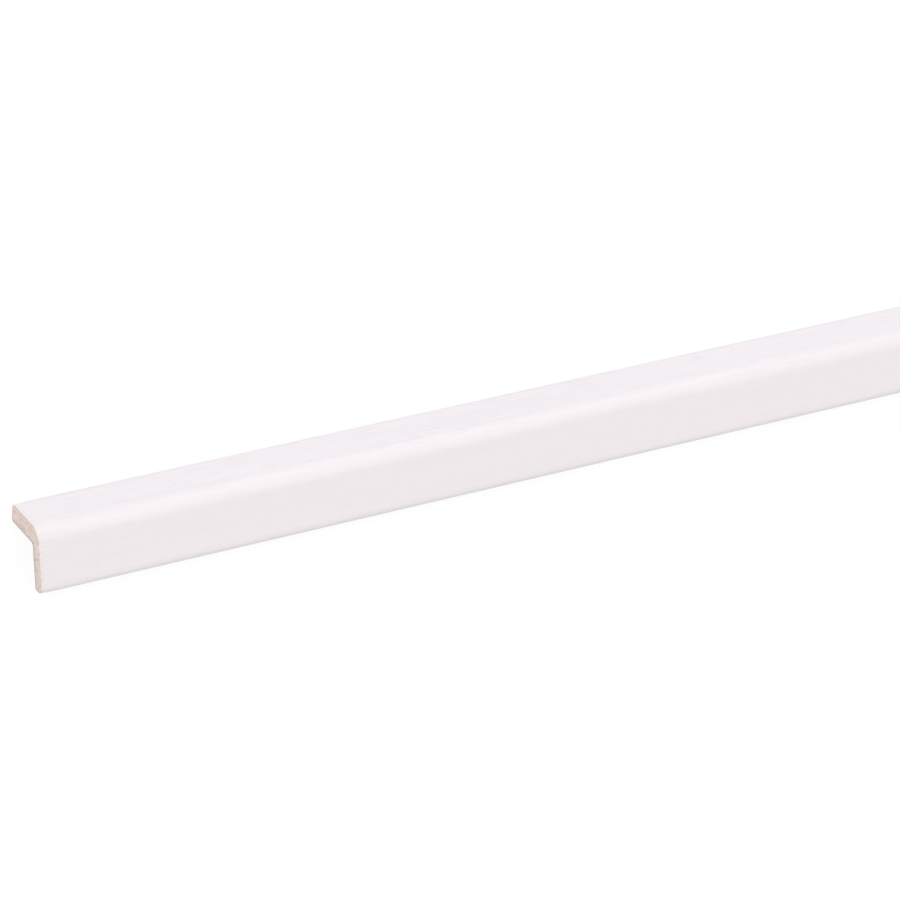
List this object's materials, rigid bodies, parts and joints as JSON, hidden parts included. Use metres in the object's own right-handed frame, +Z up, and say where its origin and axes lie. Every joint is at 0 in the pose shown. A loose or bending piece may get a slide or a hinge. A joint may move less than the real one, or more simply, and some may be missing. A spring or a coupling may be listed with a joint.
{
  "type": "corner guard moulding",
  "caption": "Long white-painted wooden moulding with an L-shaped section and a rounded outer corner, fixed over the outside corner of a wall to protect it.",
  "frame": {"origin": "on the floor that the two toes rest on, under the middle of the length", "axes": "+X along the length; +Z up through the rounded outer corner, which is the ridge; +Y across, towards the toe of the back leg"},
  "size_m": [2.4, 0.0318, 0.0191],
  "materials": {
    "painted_wood": "satin white paint over planed wood, with bare sawn ends"
  },
  "bodies": {
    "root": {"corner_guard": "painted_wood"}
  },
  "joints": []
}
